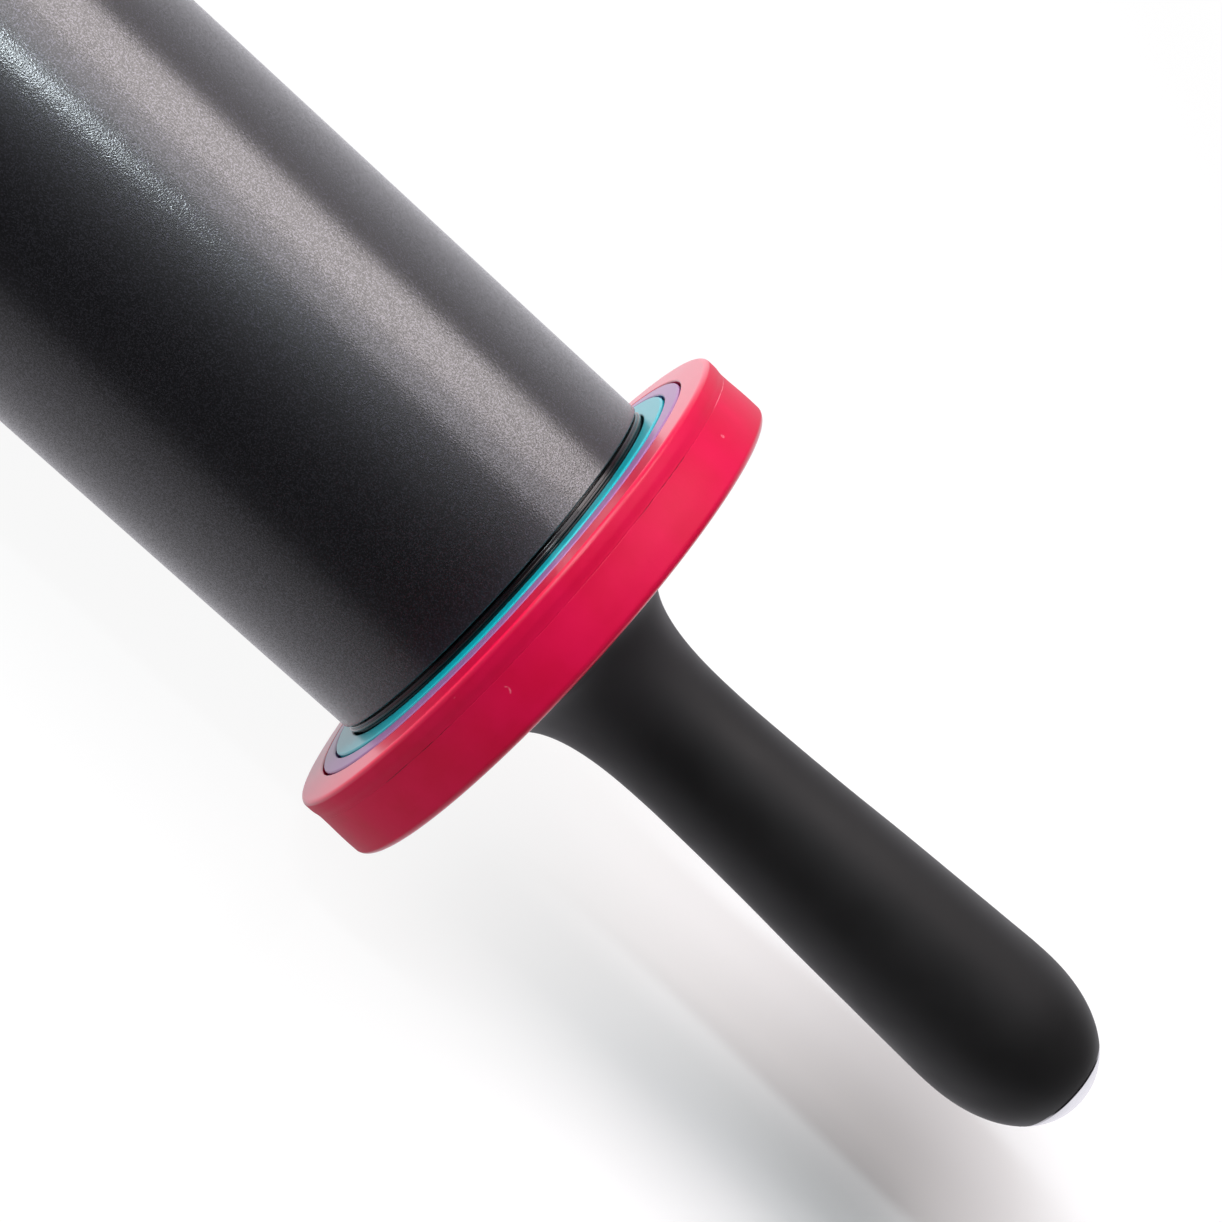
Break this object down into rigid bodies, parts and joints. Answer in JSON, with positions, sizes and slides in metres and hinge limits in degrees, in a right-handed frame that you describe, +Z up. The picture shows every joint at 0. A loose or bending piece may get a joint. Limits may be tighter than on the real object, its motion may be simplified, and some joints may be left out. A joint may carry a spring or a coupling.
{
  "type": "adjustable rolling pin",
  "caption": "Rolling pin whose coated metal barrel turns between two handles, with nested pull-off rings at each end that set the dough's thickness.",
  "frame": {"origin": "on the board under the middle of the barrel, where the pin rests on its thickest rings", "axes": "+X along the pin, towards its right handle, which is the end in the picture; +Z up from the board"},
  "size_m": [0.4512, 0.0708, 0.0708],
  "materials": {
    "barrel_coating": "grainy satin non-stick coating",
    "hub_black": "gloss black moulding",
    "bushing_white": "natural acetal",
    "axle_steel": "drawn",
    "washer_zinc": "zinc plated",
    "core_grey": "moulded",
    "grip_black": "soft-touch matte",
    "cap_bright": "bright satin plating",
    "ring_teal": "semi-matte moulding",
    "ring_purple": "semi-matte moulding",
    "ring_red": "semi-matte moulding"
  },
  "bodies": {
    "barrel": {"barrel_tube": "barrel_coating", "left_end_hub": "hub_black", "left_bushing": "bushing_white", "right_end_hub": "hub_black", "right_bushing": "bushing_white"},
    "handles": {"axle_rod": "axle_steel", "left_thrust_washer": "washer_zinc", "left_handle_core": "core_grey", "left_nut_washer": "washer_zinc", "left_axle_nut": "washer_zinc", "left_handle_grip": "grip_black", "left_end_cap": "cap_bright", "right_thrust_washer": "washer_zinc", "right_handle_core": "core_grey", "right_nut_washer": "washer_zinc", "right_axle_nut": "washer_zinc", "right_handle_grip": "grip_black", "right_end_cap": "cap_bright"},
    "left_thin_ring": {"left_thin_ring": "ring_teal"},
    "left_middle_ring": {"left_middle_ring": "ring_purple"},
    "left_thick_ring": {"left_thick_ring": "ring_red"},
    "right_thin_ring": {"right_thin_ring": "ring_teal"},
    "right_middle_ring": {"right_middle_ring": "ring_purple"},
    "right_thick_ring": {"right_thick_ring": "ring_red"}
  },
  "joints": [
    {"name": "barrel_spin", "type": "hinge", "parent": "barrel", "child": "handles", "pos_m": [0, 0, 0.0354], "axis": [1, 0, 0], "continuous": true},
    {"name": "left_thin_ring_off", "type": "slide", "parent": "barrel", "child": "left_thin_ring", "axis": [-1, 0, 0], "range_m": [0, 0.1]},
    {"name": "left_middle_ring_off", "type": "slide", "parent": "left_thin_ring", "child": "left_middle_ring", "axis": [-1, 0, 0], "range_m": [0, 0.1]},
    {"name": "left_thick_ring_off", "type": "slide", "parent": "left_middle_ring", "child": "left_thick_ring", "axis": [-1, 0, 0], "range_m": [0, 0.1]},
    {"name": "right_thin_ring_off", "type": "slide", "parent": "barrel", "child": "right_thin_ring", "axis": [1, 0, 0], "range_m": [0, 0.1]},
    {"name": "right_middle_ring_off", "type": "slide", "parent": "right_thin_ring", "child": "right_middle_ring", "axis": [1, 0, 0], "range_m": [0, 0.1]},
    {"name": "right_thick_ring_off", "type": "slide", "parent": "right_middle_ring", "child": "right_thick_ring", "axis": [1, 0, 0], "range_m": [0, 0.1]}
  ]
}
